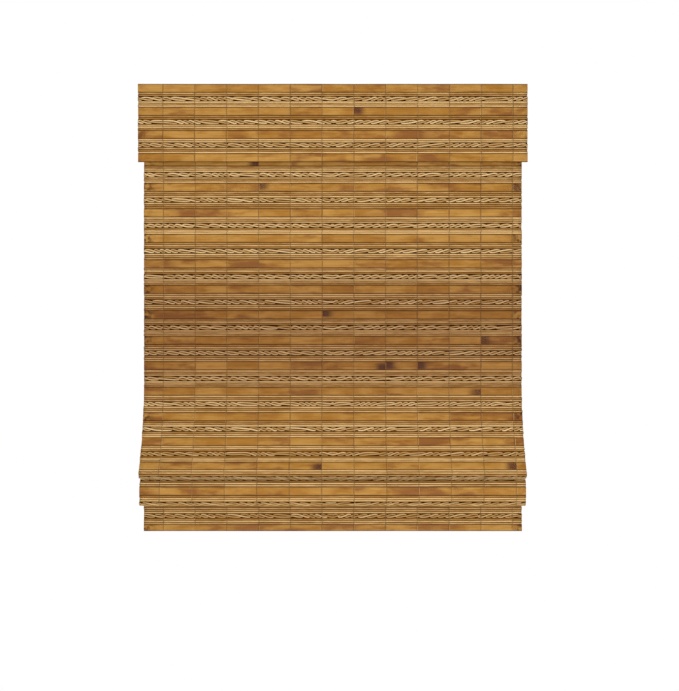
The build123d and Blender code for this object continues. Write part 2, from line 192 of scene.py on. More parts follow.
# a bag of strands that becomes one mesh, with the numbers the finishes read
class StrandBag:
    def __init__(self, name, begin=0.0):
        self.name, self.begin = name, begin
        self.points, self.faces, self.count = [], [], 0
        self.marks = {"rowSeed": [], "acrossRow": [], "alongMat": []}

    # rings is stations x section points x 3, in millimetres
    def add(self, rings, seed, across, along):
        stations, around, _ = rings.shape
        index = self.count + np.arange(stations * around).reshape(stations, around)
        nextIndex = np.roll(index, -1, axis=1)
        quads = np.stack([index[:-1], nextIndex[:-1], nextIndex[1:], index[1:]], axis=-1)
        self.faces += quads.reshape(-1, 4).tolist()
        self.faces += [index[0, ::-1].tolist(), index[-1].tolist()]
        self.points.append(rings.reshape(-1, 3) * mm)
        self.count += stations * around
        whole = np.ones((stations, around))
        self.marks["rowSeed"].append((whole * seed).ravel())
        self.marks["acrossRow"].append((whole * across).ravel())
        self.marks["alongMat"].append((whole * (along + self.begin) * mm).ravel())

    def piece(self, material, sharpAngle=None):
        mesh = bpy.data.meshes.new(self.name)
        mesh.from_pydata(np.concatenate(self.points).tolist(), [], self.faces)
        work = bmesh.new()
        work.from_mesh(mesh)
        bmesh.ops.recalc_face_normals(work, faces=work.faces)
        work.to_mesh(mesh)
        work.free()
        for name, parts in self.marks.items():
            mark = mesh.attributes.new(name, "FLOAT", "POINT")
            mark.data.foreach_set("value", np.concatenate(parts).astype(np.float32))
        mesh.polygons.foreach_set("use_smooth", [True] * len(mesh.polygons))
        if sharpAngle:
            mesh.set_sharp_from_angle(angle=math.radians(sharpAngle))
        mesh.materials.append(material)
        piece = bpy.data.objects.new(self.name, mesh)
        bpy.context.collection.objects.link(piece)
        return piece


fullTurn = 2 * math.pi
driftLook = {"waves": 3, "shortest": 0.35, "calm": 2}


# slow drift along a strand: a few sine waves with drawn lengths and phases
def drift(xs, size, longest):
    lengths = longest * draws.uniform(driftLook["shortest"], 1.0, driftLook["waves"])
    phases = draws.uniform(0, fullTurn, driftLook["waves"])
    waves = [np.sin(fullTurn * xs / length + phase) for length, phase in zip(lengths, phases)]
    return size * sum(waves) / driftLook["calm"]


# points of a strand around its own line: a runs along the path, d stands out to the room
def sectionRings(xs, path, place, depth, section, shiftA, shiftD, scale):
    forward, height, heading = path.at(place)
    c, s = turned(heading)
    a = section[None, :, 0] * scale[:, None] + shiftA[:, None]
    d = section[None, :, 1] * scale[:, None] + shiftD[:, None]
    ys = depth - forward - a * s - d * c
    zs = height - a * c + d * s
    return np.stack([np.broadcast_to(xs[:, None], ys.shape), ys, zs], axis=-1)


def ellipse(halfA, halfD, count):
    turns = fullTurn * np.arange(count) / count
    return np.stack([halfA * np.cos(turns), halfD * np.sin(turns)], axis=-1)


# strands in millimetres: wander is a drift off the row's line, over runs of up to the lengths given
slatLook = {
    "thickness": 2.0,
    "crown": 0.35,
    "flankShare": 0.75,
    "edgeDrop": 0.1,
    "edgeRound": 0.35,
    "tuck": 0.15,
    "wander": 0.12,
    "wanderRuns": (420, 300),
    "endSpread": 0.9,
    "step": 6.0,
}
reedLook = {
    "fill": 1.07,
    "depthShare": 0.9,
    "wander": 0.1,
    "wanderRuns": (260, 340),
    "thickSpread": 0.04,
    "thickRun": 120,
    "endSpread": 1.2,
    "step": 9.0,
    "sides": 8,
    "tones": 3,
}
twineLook = {
    "strands": 3,
    "strandA": 1.75,
    "strandD": 1.25,
    "swingA": 2.6,
    "swingD": 1.3,
    "pitch": 56.0,
    "pitchSpread": 0.2,
    "pitchRun": 210,
    "wander": 0.2,
    "wanderRun": 150,
    "thickSpread": 0.07,
    "thickRun": 60,
    "step": 3.0,
    "sides": 7,
    "shadeStripThickness": 0.9,
    "shadeStripTuck": 0.8,
    "shadeStripBends": 7,
    "shadeStripStep": 18.0,
    "endSpread": 1.2,
}
threadLook = {
    "first": -332.0,
    "pitch": 62.2,
    "count": 12,
    "radius": 0.6,
    "spread": 0.75,
    "lean": 0.5,
    "leanRun": 240,
    "sides": 6,
    "lift": 0.5,
    "flankShare": 0.86,
    "headReach": 0.6,
}


def stationsFor(width, step, endSpread):
    ends = width / 2 - endSpread * draws.uniform(0, 1, 2)
    return np.linspace(-ends[0], ends[1], max(2, int(width / step)))


def slatSection(height):
    half, rim = height / 2, slatLook["edgeRound"]
    back, front = -slatLook["thickness"] / 2, slatLook["thickness"] / 2 - slatLook["edgeDrop"]
    flank, crown = front + slatLook["flankShare"] * slatLook["crown"], front + slatLook["crown"]
    points = [(-half + rim, front), (-half / 2, flank), (0, crown), (half / 2, flank), (half - rim, front)]
    points += [(half, front - rim), (half, back + rim), (half - rim, back)]
    return np.array(points + [(-half + rim, back), (-half, back + rim), (-half, front - rim)])


def addSlat(bag, path, start, end, depth, width):
    xs = stationsFor(width, slatLook["step"], slatLook["endSpread"])
    section = slatSection(end - start + 2 * slatLook["tuck"])
    place = (start + end) / 2
    shiftA, shiftD = (drift(xs, slatLook["wander"], run) for run in slatLook["wanderRuns"])
    rings = sectionRings(xs, path, place, depth, section, shiftA, shiftD, np.ones_like(xs))
    across = section[:, 0] / section[:, 0].max()
    bag.add(rings, draws.uniform(), across[None, :], place + section[None, :, 0])


# tones come in sets that run from pale to dark, so that reeds side by side differ
def nextTone(tones):
    if not tones:
        tones.extend(draws.permutation(reedLook["tones"]))
    return (tones.pop() + draws.uniform()) / reedLook["tones"]


def addReed(bag, path, start, end, depth, width, tones):
    xs = stationsFor(width, reedLook["step"], reedLook["endSpread"])
    half = (end - start) / 2 * reedLook["fill"]
    section = ellipse(half, half * reedLook["depthShare"], reedLook["sides"])
    place = (start + end) / 2
    shiftA, shiftD = (drift(xs, reedLook["wander"], run) for run in reedLook["wanderRuns"])
    scale = 1 + drift(xs, reedLook["thickSpread"], reedLook["thickRun"])
    rings = sectionRings(xs, path, place, depth, section, shiftA, shiftD, scale)
    bag.add(rings, nextTone(tones), (section[:, 0] / half)[None, :], place + section[None, :, 0])


# painted shade: a dark strip behind a twine that stands for the shade between its strands, tucked under the
# reeds on both sides
def shadeStripSection(height):
    spots = np.linspace(-height / 2, height / 2, twineLook["shadeStripBends"])
    thick = twineLook["shadeStripThickness"] / 2
    return np.array([(spot, thick) for spot in spots] + [(spot, -thick) for spot in spots[::-1]])


# as sectionRings, for a section that bends with the path
def bentRings(xs, path, place, depth, section):
    forward, height, heading = np.array([path.at(place + a) for a in section[:, 0]]).T
    ys = depth - forward - section[:, 1] * np.cos(np.radians(heading))
    zs = height + section[:, 1] * np.sin(np.radians(heading))
    return np.stack(np.broadcast_arrays(xs[:, None], ys[None, :], zs[None, :]), axis=-1)


def addTwine(twineBag, shadeStripBag, path, start, end, depth, width):
    xs = stationsFor(width, twineLook["step"], twineLook["endSpread"])
    place = (start + end) / 2
    turns = fullTurn * np.abs(xs) / twineLook["pitch"] + draws.uniform(0, fullTurn)
    turns = turns + drift(xs, fullTurn * twineLook["pitchSpread"], twineLook["pitchRun"])
    section = ellipse(twineLook["strandA"], twineLook["strandD"], twineLook["sides"])
    slack = drift(xs, twineLook["wander"], twineLook["wanderRun"])
    for phase in fullTurn * np.arange(twineLook["strands"]) / twineLook["strands"]:
        swingA = twineLook["swingA"] * np.cos(turns + phase) + slack
        swingD = twineLook["swingD"] * np.sin(turns + phase)
        scale = 1 + drift(xs, twineLook["thickSpread"], twineLook["thickRun"])
        rings = sectionRings(xs, path, place, depth, section, swingA, swingD, scale)
        across = section[None, :, 0] / twineLook["strandA"]
        around = np.arctan2(section[:, 1], section[:, 0])[None, :] * twineLook["strandA"]
        twineBag.add(rings, draws.uniform(), across, place + around)
    # the dark strip of painted shade behind the twine
    shadeStripXs = stationsFor(width, twineLook["shadeStripStep"], twineLook["endSpread"])
    core = shadeStripSection(end - start + 2 * twineLook["shadeStripTuck"])
    rings = bentRings(shadeStripXs, path, place, depth, core)
    across = (core[:, 0] / core[:, 0].max())[None, :]
    shadeStripBag.add(rings, draws.uniform(), across, place + core[None, :, 0])


rowReach = {"slat": 1.25, "reed": 1.9, "twine": 2.6}  # half thickness that a thread goes round


# a pair of threads on each line: where one lies in front of a row, its partner lies behind
def addThreads(bag, path, rows, depth, lines):
    places, reaches, sides = [0.0], [threadLook["headReach"]], [0]
    for index, (kind, start, end) in enumerate(rows):
        side = 1 if index % 2 == 0 else -1
        quarter = (end - start) / 4
        for part in (2,) if kind == "reed" else (1, 2, 3):
            places.append(start + part * quarter)
            rise = 1.0 if part == 2 else threadLook["flankShare"]
            reaches.append((rowReach[kind] + threadLook["lift"]) * rise)
            sides.append(side)
        places.append(end)
        reaches.append(0.0)
        sides.append(0)
    spots = [path.at(place) for place in places]
    swing = np.array(reaches) * np.array(sides)
    circle = ellipse(threadLook["radius"], threadLook["radius"], threadLook["sides"])
    cosines = np.array([turned(spot[2])[0] for spot in spots])
    sines = np.array([turned(spot[2])[1] for spot in spots])
    forward = np.array([spot[0] for spot in spots])
    height = np.array([spot[1] for spot in spots])
    along = np.array(places)[:, None]
    for line in lines:
        for side in (1, -1):
            lean = line + drift(np.array(places), threadLook["lean"], threadLook["leanRun"])
            xs = lean + side * threadLook["spread"]
            out = side * swing[:, None] + circle[None, :, 1]
            ys = depth - forward[:, None] - out * cosines[:, None]
            zs = height[:, None] + out * sines[:, None]
            rings = np.stack([xs[:, None] + circle[None, :, 0], ys, zs], axis=-1)
            bag.add(rings, draws.uniform(), np.zeros((1, threadLook["sides"])), along)


# small helpers that place shader nodes and join them
def put(tree, kind, inputs=None, **settings):
    node = tree.nodes.new("ShaderNode" + kind)
    for name, value in settings.items():
        setattr(node, name, value)
    for name, value in (inputs or {}).items():
        if isinstance(value, bpy.types.NodeSocket):
            tree.links.new(value, node.inputs[name])
        else:
            node.inputs[name].default_value = value
    return node


def calc(tree, operation, *values):
    return put(tree, "Math", dict(enumerate(values)), operation=operation).outputs[0]


def fade(tree, value, low, high, first=0.0, last=1.0):
    inputs = {"Value": value, "From Min": low, "From Max": high, "To Min": first, "To Max": last}
    return put(tree, "MapRange", inputs, interpolation_type="SMOOTHSTEP").outputs[0]


def mixed(tree, share, first, second, way="MIX"):
    return put(tree, "Mix", {0: share, 6: first, 7: second}, data_type="RGBA", blend_type=way).outputs[2]


def joinXyz(tree, x, y, z):
    return put(tree, "CombineXYZ", {0: x, 1: y, 2: z}).outputs[0]


def cloud(tree, vector, scale, detail=2.0):
    return put(tree, "TexNoise", {"Vector": vector, "Scale": scale, "Detail": detail}).outputs[0]


def shade(red, green, blue):
    parts = [part / 255 for part in (red, green, blue)]
    return (*[part / 12.92 if part <= 0.04045 else ((part + 0.055) / 1.055) ** 2.4 for part in parts], 1.0)


def startGroup(name, inputs, outputs):
    tree = bpy.data.node_groups.new(name, "ShaderNodeTree")
    for label, kind in inputs.items():
        tree.interface.new_socket(label, in_out="INPUT", socket_type="NodeSocket" + kind)
    for label, kind in outputs.items():
        tree.interface.new_socket(label, in_out="OUTPUT", socket_type="NodeSocket" + kind)
    return tree, tree.nodes.new("NodeGroupInput").outputs, tree.nodes.new("NodeGroupOutput").inputs


def useGroup(tree, group, inputs=None):
    node = tree.nodes.new("ShaderNodeGroup")
    node.node_tree = group
    for name, value in (inputs or {}).items():
        node.inputs[name].default_value = value
    return node.outputs


# the marks that every strand carries, with x across the shade in metres
def strandMarks(tree):
    names = ("rowSeed", "acrossRow", "alongMat")
    marks = [put(tree, "Attribute", attribute_name=name).outputs["Fac"] for name in names]
    spot = put(tree, "TexCoord").outputs["Object"]
    return [put(tree, "SeparateXYZ", {0: spot}).outputs[0]] + marks


# a cloud stretched along a strand: scales across the shade and along the mat, and its detail
def strandCloud(tree, x, along, shift, acrossScale, alongScale, detail):
    scaledX, scaledAlong = calc(tree, "MULTIPLY", x, acrossScale), calc(tree, "MULTIPLY", along, alongScale)
    return cloud(tree, joinXyz(tree, scaledX, scaledAlong, shift), 1.0, detail)


# painted shadow that a thread line casts on the strands, in shares of the way from line to line
threadShadowLook = {"reach": (0.03, 0.008), "least": 0.12, "spread": 0.5}
# painted shade: a darker band of strands half-way down the mat, in metres along it
shadeBandLook = {"middle": 0.487, "reach": (0.2, 0.035), "tone": (0.69, 0.62, 0.61, 1.0)}
cellSpread = 917.0  # sets the seeds of strands wide apart


# a cell is a strand's stretch between two thread lines: it has three draws
# next come the share of the way from line to line, the painted thread shadow and the painted shade band
def buildCellDraws():
    outputs = {name: "Float" for name in ("First", "Second", "Third", "Share", "Pinch", "ShadeBand")}
    tree, _, wanted = startGroup("cellDraws", {}, outputs)
    x, seed, _, along = strandMarks(tree)
    fromFirst = calc(tree, "SUBTRACT", x, threadLook["first"] * mm)
    steps = calc(tree, "DIVIDE", fromFirst, threadLook["pitch"] * mm)
    cell = joinXyz(tree, calc(tree, "FLOOR", steps), calc(tree, "MULTIPLY", seed, cellSpread), 0.5)
    draw = put(tree, "TexWhiteNoise", {"Vector": cell}, noise_dimensions="3D").outputs["Color"]
    parts = put(tree, "SeparateColor", {0: draw}).outputs
    share = calc(tree, "FRACT", steps)
    fromLine = calc(tree, "MINIMUM", share, calc(tree, "SUBTRACT", 1.0, share))
    depth = calc(tree, "MULTIPLY_ADD", parts[2], threadShadowLook["spread"], threadShadowLook["least"])
    threadShadow = calc(tree, "MULTIPLY", fade(tree, fromLine, *threadShadowLook["reach"]), depth)
    fromShadeBand = calc(tree, "ABSOLUTE", calc(tree, "SUBTRACT", along, shadeBandLook["middle"]))
    shadeBand = fade(tree, fromShadeBand, *shadeBandLook["reach"])
    for socket, value in zip(wanted, [parts[0], parts[1], parts[2], share, threadShadow, shadeBand]):
        tree.links.new(value, socket)
    return tree


cellDraws = buildCellDraws()

toneOutputs = {"Color": "Color", "Roughness": "Float", "Height": "Float"}
# clouds on a strip, as for strandCloud, and the fades that they go through: from, to, first and last value
stripClouds = {
    "slow": (22.0, 40.0, 3.0),
    "patch": (32.0, 95.0, 4.0),
    "stretch": (8.0, 30.0, 2.0),
    "grain": (16.0, 1300.0, 5.0),
    "blotch": (130.0, 130.0, 3.0),
}
stripFades = {
    "slow": (0.3, 0.7, 0.0, 0.6),
    "patch": (0.3, 0.7, 0.0, 0.4),
    "tint": (0.2, 0.8),
    "patchRed": (0.38, 0.75, 0.0, 0.34),
    "stretchRed": (0.46, 0.68, 0.0, 0.42),
    "red": (0.35, 0.9, 0.0, 0.95),
    "grain": (0.3, 0.62, 0.32, 0.0),
    # rim: painted shade along the strip's edges
    "rim": (0.74, 0.96, 0.0, 0.95),
    "rough": (0.2, 0.8, 0.72, 0.52),
}
stripShares = {"seed": 57.0, "cellTint": 0.4, "mottle": 0.6, "cellRed": 0.45}
knotLook = {"along": (0.44, 0.14), "across": (1.5, 0.5), "ragged": 0.9, "pick": 7.3}
stainLook = {"reach": (0.03, 0.0), "blotch": (0.4, 0.62), "soaked": (0.3, 0.6, 1.0, 0.2), "pick": 5.7}


# tone of a split bamboo strip: tint in each cell, long grain, now and then a knot, stained ends on some, and
# painted shade along its edges, along the thread lines and in a band half-way down the mat
def buildStripTone():
    inputs = {"Honey": "Color", "Ochre": "Color", "Russet": "Color", "Knot": "Color", "Stain": "Color"}
    inputs |= {"Knots": "Float", "Half Width": "Float"}
    tree, given, wanted = startGroup("stripTone", inputs, toneOutputs)
    x, seed, across, along = strandMarks(tree)
    first, second, third, share, threadShadow, shadeBand = useGroup(tree, cellDraws)[:6]
    shift = calc(tree, "MULTIPLY", seed, stripShares["seed"])
    clouds = {name: strandCloud(tree, x, along, shift, *scales) for name, scales in stripClouds.items()}
    slow, patch, stretch, grain, blotch = clouds.values()
    slowPart, patchPart = fade(tree, slow, *stripFades["slow"]), fade(tree, patch, *stripFades["patch"])
    mottle = calc(tree, "ADD", slowPart, patchPart)
    mottle = calc(tree, "MULTIPLY", mottle, stripShares["mottle"])
    tint = calc(tree, "MULTIPLY_ADD", first, stripShares["cellTint"], mottle)
    tone = mixed(tree, fade(tree, tint, *stripFades["tint"]), given["Honey"], given["Ochre"])
    patchRed = fade(tree, patch, *stripFades["patchRed"])
    red = calc(tree, "MULTIPLY_ADD", second, stripShares["cellRed"], patchRed)
    red = calc(tree, "ADD", red, fade(tree, stretch, *stripFades["stretchRed"]))
    tone = mixed(tree, fade(tree, red, *stripFades["red"]), tone, given["Russet"])
    tone = mixed(tree, fade(tree, grain, *stripFades["grain"]), tone, given["Russet"], "MULTIPLY")
    # a knot lies beside one of the two thread lines
    off = calc(tree, "ABSOLUTE", calc(tree, "SUBTRACT", across, calc(tree, "SUBTRACT", third, 0.5)))
    rough = calc(tree, "MULTIPLY", calc(tree, "SUBTRACT", grain, 0.5), knotLook["ragged"])
    height = fade(tree, calc(tree, "ADD", off, rough), *knotLook["across"])
    fromLine = calc(tree, "ABSOLUTE", calc(tree, "SUBTRACT", share, calc(tree, "GREATER_THAN", third, 0.5)))
    knot = calc(tree, "MULTIPLY", fade(tree, fromLine, *knotLook["along"]), height)
    drawn = calc(tree, "FRACT", calc(tree, "MULTIPLY", second, knotLook["pick"]))
    picked = calc(tree, "LESS_THAN", drawn, given["Knots"])
    tone = mixed(tree, calc(tree, "MULTIPLY", knot, picked), tone, given["Knot"])
    # stained ends, on the strips that soaked more
    edge = calc(tree, "SUBTRACT", given["Half Width"], calc(tree, "ABSOLUTE", x))
    blotched = fade(tree, blotch, *stainLook["blotch"])
    ends = calc(tree, "MULTIPLY", fade(tree, edge, *stainLook["reach"]), blotched)
    drawn = calc(tree, "FRACT", calc(tree, "MULTIPLY", seed, stainLook["pick"]))
    soaked = calc(tree, "MULTIPLY", ends, fade(tree, drawn, *stainLook["soaked"]))
    tone = mixed(tree, soaked, tone, given["Stain"])
    # painted shade: strips in the band half-way down the mat are darker
    tone = mixed(tree, shadeBand, tone, shadeBandLook["tone"], "MULTIPLY")
    # painted shade along the strip's edges and painted thread shadow, in the dark stain colour
    rim = fade(tree, calc(tree, "ABSOLUTE", across), *stripFades["rim"])
    tone = mixed(tree, calc(tree, "MAXIMUM", rim, threadShadow), tone, given["Stain"])
    tree.links.new(tone, wanted["Color"])
    tree.links.new(fade(tree, grain, *stripFades["rough"]), wanted["Roughness"])
    tree.links.new(grain, wanted["Height"])
    return tree


# clouds and fades of a fibre, and the shares in its tone: the strand's own, its cell's, slow and fine clouds
fibreClouds = {"slow": (45.0, 160.0, 3.0), "fineAcross": 90.0, "fineDetail": 4.0}
fibreFades = {"tint": (0.2, 0.85), "rim": (0.35, 0.95), "rough": (0.2, 0.8, 0.85, 0.62)}
fibreShares = {"seed": 71.0, "own": 0.5, "cell": 0.16, "slow": 0.39, "fine": 0.5}
# least share and spread of the painted shade along a fibre's sides
fibreShares |= {"rimLeast": 0.6, "rimSpread": 0.6}


# tone of a thin fibre strand: reed, straw twine, thread or cord, with painted shade along its sides, along
# the thread lines and in a band half-way down the mat
def buildFibreTone():
    inputs = {"Pale": "Color", "Tan": "Color", "Shadow": "Color", "Rim": "Float", "Fine": "Float"}
    tree, given, wanted = startGroup("fibreTone", inputs, toneOutputs)
    x, seed, across, along = strandMarks(tree)
    first, second, _, _, threadShadow, shadeBand = useGroup(tree, cellDraws)[:6]
    shift = calc(tree, "MULTIPLY", seed, fibreShares["seed"])
    slow = strandCloud(tree, x, along, shift, *fibreClouds["slow"])
    fineDetail = fibreClouds["fineDetail"]
    streak = strandCloud(tree, x, along, shift, fibreClouds["fineAcross"], given["Fine"], fineDetail)
    cell = calc(tree, "MULTIPLY", first, fibreShares["cell"])
    own = calc(tree, "MULTIPLY_ADD", seed, fibreShares["own"], cell)
    tint = calc(tree, "MULTIPLY_ADD", slow, fibreShares["slow"], own)
    tint = calc(tree, "MULTIPLY_ADD", calc(tree, "SUBTRACT", streak, 0.5), fibreShares["fine"], tint)
    tone = mixed(tree, fade(tree, tint, *fibreFades["tint"]), given["Pale"], given["Tan"])
    # painted shade: fibres in the band half-way down the mat are darker
    tone = mixed(tree, shadeBand, tone, shadeBandLook["tone"], "MULTIPLY")
    # painted shade along the fibre's sides and painted thread shadow, in the shadow colour
    sideShadeShare = calc(tree, "MULTIPLY_ADD", second, fibreShares["rimSpread"], fibreShares["rimLeast"])
    sideShadeShare = calc(tree, "MULTIPLY", sideShadeShare, given["Rim"])
    rim = fade(tree, calc(tree, "ABSOLUTE", across), *fibreFades["rim"])
    dark = calc(tree, "MULTIPLY", rim, sideShadeShare)
    tone = mixed(tree, calc(tree, "MAXIMUM", dark, threadShadow), tone, given["Shadow"])
    tree.links.new(tone, wanted["Color"])
    tree.links.new(fade(tree, streak, *fibreFades["rough"]), wanted["Roughness"])
    tree.links.new(streak, wanted["Height"])
    return tree


madeLook = {"fine": (900.0, 4.0), "broad": (60.0, 3.0), "worn": (0.75, 1.3), "rough": (0.3, 0.7)}


# faint mottling and fine scratches of the made parts behind the mat
def buildMadeTone():
    inputs = {"Main": "Color", "Worn": "Color", "Grain": "Float", "Stretch": "Vector"}
    inputs |= {"Smooth": "Float", "Rough": "Float"}
    tree, given, wanted = startGroup("madeTone", inputs, toneOutputs)
    spot = put(tree, "TexCoord").outputs["Object"]
    stretched = put(tree, "VectorMath", {0: spot, 1: given["Stretch"]}, operation="MULTIPLY").outputs[0]
    fine = cloud(tree, stretched, *madeLook["fine"])
    broad = cloud(tree, stretched, *madeLook["broad"])
    worn = fade(tree, calc(tree, "ADD", fine, broad), *madeLook["worn"])
    worn = calc(tree, "MULTIPLY", worn, given["Grain"])
    tree.links.new(mixed(tree, worn, given["Main"], given["Worn"]), wanted["Color"])
    span = calc(tree, "SUBTRACT", given["Rough"], given["Smooth"])
    rough = calc(tree, "MULTIPLY_ADD", fade(tree, fine, *madeLook["rough"]), span, given["Smooth"])
    tree.links.new(rough, wanted["Roughness"])
    tree.links.new(fine, wanted["Height"])
    return tree


stripTone = buildStripTone()
fibreTone = buildFibreTone()
madeTone = buildMadeTone()


# strength and depth, in metres, of the fine relief in each finish
relief = {
    "strip": (0.35, 0.0004),
    "reed": (0.3, 0.0003),
    "twine": (0.5, 0.0004),
    "core": (0.4, 0.0004),
    "thread": (0.4, 0.0002),
    "cord": (0.5, 0.0002),
    "made": (0.25, 0.0002),
}


def finish(name, group, inputs, kind, plain):
    material = bpy.data.materials.new(name)
    material.use_nodes = True
    tree = material.node_tree
    body = tree.nodes["Principled BSDF"]
    tone = useGroup(tree, group, inputs)
    tree.links.new(tone["Color"], body.inputs["Base Color"])
    tree.links.new(tone["Roughness"], body.inputs["Roughness"])
    strength, depth = relief[kind]
    raised = put(tree, "Bump", {"Strength": strength, "Distance": depth, "Height": tone["Height"]})
    tree.links.new(raised.outputs[0], body.inputs["Normal"])
    for socket, value in plain.items():
        body.inputs[socket].default_value = value
    return material


stripGloss = {"Specular IOR Level": 0.14}
fibreGloss = {"Specular IOR Level": 0.05}
stripColors = {
    "Honey": shade(192, 144, 70),
    "Ochre": shade(168, 116, 42),
    "Russet": shade(140, 88, 40),
    "Knot": shade(84, 46, 28),
    "Stain": shade(62, 30, 4),
    "Knots": 0.045,
}


# colours of a fibre, how dark the painted shade along its sides is, and how fine its streaks
def fibreColors(pale, tan, shadow, rim, fine):
    return {"Pale": shade(*pale), "Tan": shade(*tan), "Shadow": shade(*shadow), "Rim": rim, "Fine": fine}


reedColors = fibreColors((228, 187, 126), (156, 108, 48), (58, 28, 2), 0.95, 1500.0)
twineColors = fibreColors((238, 202, 146), (184, 138, 76), (84, 48, 12), 0.75, 1800.0)
# colours of the dark strip behind each twine, which is painted shade
twineShadeStripColors = fibreColors((66, 36, 8), (40, 18, 2), (34, 16, 2), 0.4, 900.0)
threadColors = fibreColors((206, 168, 108), (168, 126, 72), (90, 56, 24), 0.0, 700.0)
matEdge = {"Half Width": weave["matWidth"] / 2 * mm}
valanceEdge = {"Half Width": weave["valanceWidth"] / 2 * mm}

matStrip = finish("matStrip", stripTone, stripColors | matEdge, "strip", stripGloss)
valanceStrip = finish("valanceStrip", stripTone, stripColors | valanceEdge, "strip", stripGloss)
reedSkin = finish("reedSkin", fibreTone, reedColors, "reed", fibreGloss)
strawTwine = finish("strawTwine", fibreTone, twineColors, "twine", fibreGloss)
# the dark strip behind each twine is painted shade
twineCore = finish("twineCore", fibreTone, twineShadeStripColors, "core", fibreGloss)
warpThread = finish("warpThread", fibreTone, threadColors, "thread", fibreGloss)
print("finishes of the mat ready")


edgeAngle = 40  # degrees: flat strands keep sharper edges


# weave one mat out of its rows: strips, reeds, twine on a dark strip of painted shade, and threads
def weaveMat(name, rows, path, depth, width, strip, begin=0.0):
    skins = {"Strips": strip, "Reeds": reedSkin, "Twine": strawTwine, "Core": twineCore}
    skins["Threads"] = warpThread
    bags = {kind: StrandBag(name + kind, begin) for kind in skins}
    placed = placedRows(rows, path)
    tones = []
    for kind, start, end in placed:
        if kind == "slat":
            addSlat(bags["Strips"], path, start, end, depth, width)
        elif kind == "reed":
            addReed(bags["Reeds"], path, start, end, depth, width, tones)
        else:
            addTwine(bags["Twine"], bags["Core"], path, start, end, depth, width)
    lines = [threadLook["first"] + threadLook["pitch"] * index for index in range(threadLook["count"])]
    addThreads(bags["Threads"], path, placed, depth, lines)
    woven = {}
    for kind, bag in bags.items():
        woven[kind] = bag.piece(skins[kind], edgeAngle if kind in ("Strips", "Core") else None)
    print(name, "woven:", len(placed), "rows")
    return woven


# the height that a mat's slats take up along it, summed and not used further
def declareMat(rows, path):
    slats = sum(end - start for kind, start, end in placedRows(rows, path) if kind == "slat")


valanceSpot = weave["valanceDepth"], weave["valanceWidth"]
valanceMat = weaveMat("valance", valanceRows, valancePath, *valanceSpot, valanceStrip)
for piece in valanceMat.values():
    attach(piece, "head")
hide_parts("valance_mat")
declareMat(valanceRows, valancePath)

matSpot = weave["matDepth"], weave["matWidth"]
panelMat = weaveMat("panel", panelRows, panelPath, *matSpot, matStrip)
for piece in panelMat.values():
    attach(piece, "head")
    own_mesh(piece)
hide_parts("woven_panel")
declareMat(panelRows, panelPath)

foldMat = weaveMat("fold", foldRows, foldPath, *matSpot, matStrip, panelPath.length)
for piece in foldMat.values():
    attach(piece, "hem")
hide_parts("fold_stack")
declareMat(foldRows, foldPath)
print("mats in place")


joinGap = 0.001  # millimetres: a profile that ends this near its start is closed


# round pieces turned from a side profile of (radius, run) points about an axis along x or z
def turnedPiece(name, profile, axis, centres, material, sides=32, sharpAngle=35):
    mesh = bpy.data.meshes.new(name)
    work = bmesh.new()
    for centre in centres:
        rings = []
        for radius, run in profile:
            ring = []
            for index in range(sides):
                c, s = turned(360 * index / sides)
                spot = {"x": (run, radius * c, radius * s), "z": (radius * c, radius * s, run)}[axis]
                ring.append(work.verts.new([(a + b) * mm for a, b in zip(spot, centre)]))
            rings.append(ring)
        for near, far in zip(rings, rings[1:]):
            for index in range(sides):
                after = (index + 1) % sides
                work.faces.new((near[index], near[after], far[after], far[index]))
        if math.dist(profile[0], profile[-1]) > joinGap:
            work.faces.new(rings[0])
            work.faces.new(rings[-1])
        else:
            bmesh.ops.remove_doubles(work, verts=rings[0] + rings[-1], dist=joinGap * mm)
    bmesh.ops.recalc_face_normals(work, faces=work.faces)
    work.to_mesh(mesh)
    work.free()
    mesh.polygons.foreach_set("use_smooth", [True] * len(mesh.polygons))
    mesh.set_sharp_from_angle(angle=math.radians(sharpAngle))
    mesh.materials.append(material)
    piece = bpy.data.objects.new(name, mesh)
    bpy.context.collection.objects.link(piece)
    return piece


# made parts: painted rail, moulded plastic, plated steel, planed wood and tape
# each with its two colours, least and most roughness, the grain's stretch and share, and plain sockets
madeGloss = {"Specular IOR Level": 0.4}
madeFinishes = {
    "rail_paint": ((208, 200, 184), (190, 180, 160), 0.38, 0.52, (1, 1, 1), 0.4, {"Coat Weight": 0.15}),
    "cap_plastic": ((204, 196, 180), (184, 174, 154), 0.42, 0.58, (1, 1, 1), 0.35, {}),
    "bracket_steel": ((178, 178, 174), (140, 140, 138), 0.3, 0.48, (1, 1, 1), 0.7, {"Metallic": 1.0}),
    "shaft_steel": ((160, 161, 164), (116, 117, 120), 0.28, 0.46, (0.04, 1, 1), 0.7, {"Metallic": 1.0}),
    "spool_plastic": ((222, 219, 208), (202, 196, 178), 0.34, 0.5, (1, 1, 1), 0.4, {}),
    "motor_plastic": ((46, 46, 49), (70, 70, 72), 0.4, 0.6, (1, 1, 1), 0.4, {}),
    "spring_steel": ((104, 110, 124), (66, 72, 88), 0.26, 0.44, (1, 0.05, 0.05), 0.7, {"Metallic": 1.0}),
    "ring_plastic": ((214, 202, 174), (188, 172, 138), 0.34, 0.5, (1, 1, 1), 0.4, {}),
    "screw_steel": ((172, 172, 166), (128, 126, 120), 0.3, 0.5, (1, 1, 1), 0.7, {"Metallic": 1.0}),
    "batten_wood": ((196, 160, 108), (150, 108, 62), 0.5, 0.68, (0.02, 1, 1), 1.0, {}),
    "hem_wood": ((158, 110, 62), (108, 66, 32), 0.48, 0.66, (0.02, 1, 1), 1.0, {}),
    "tape": ((176, 160, 130), (126, 110, 82), 0.8, 0.95, (1, 1, 1), 1.0, {"Sheen Weight": 0.3}),
}
made = {}
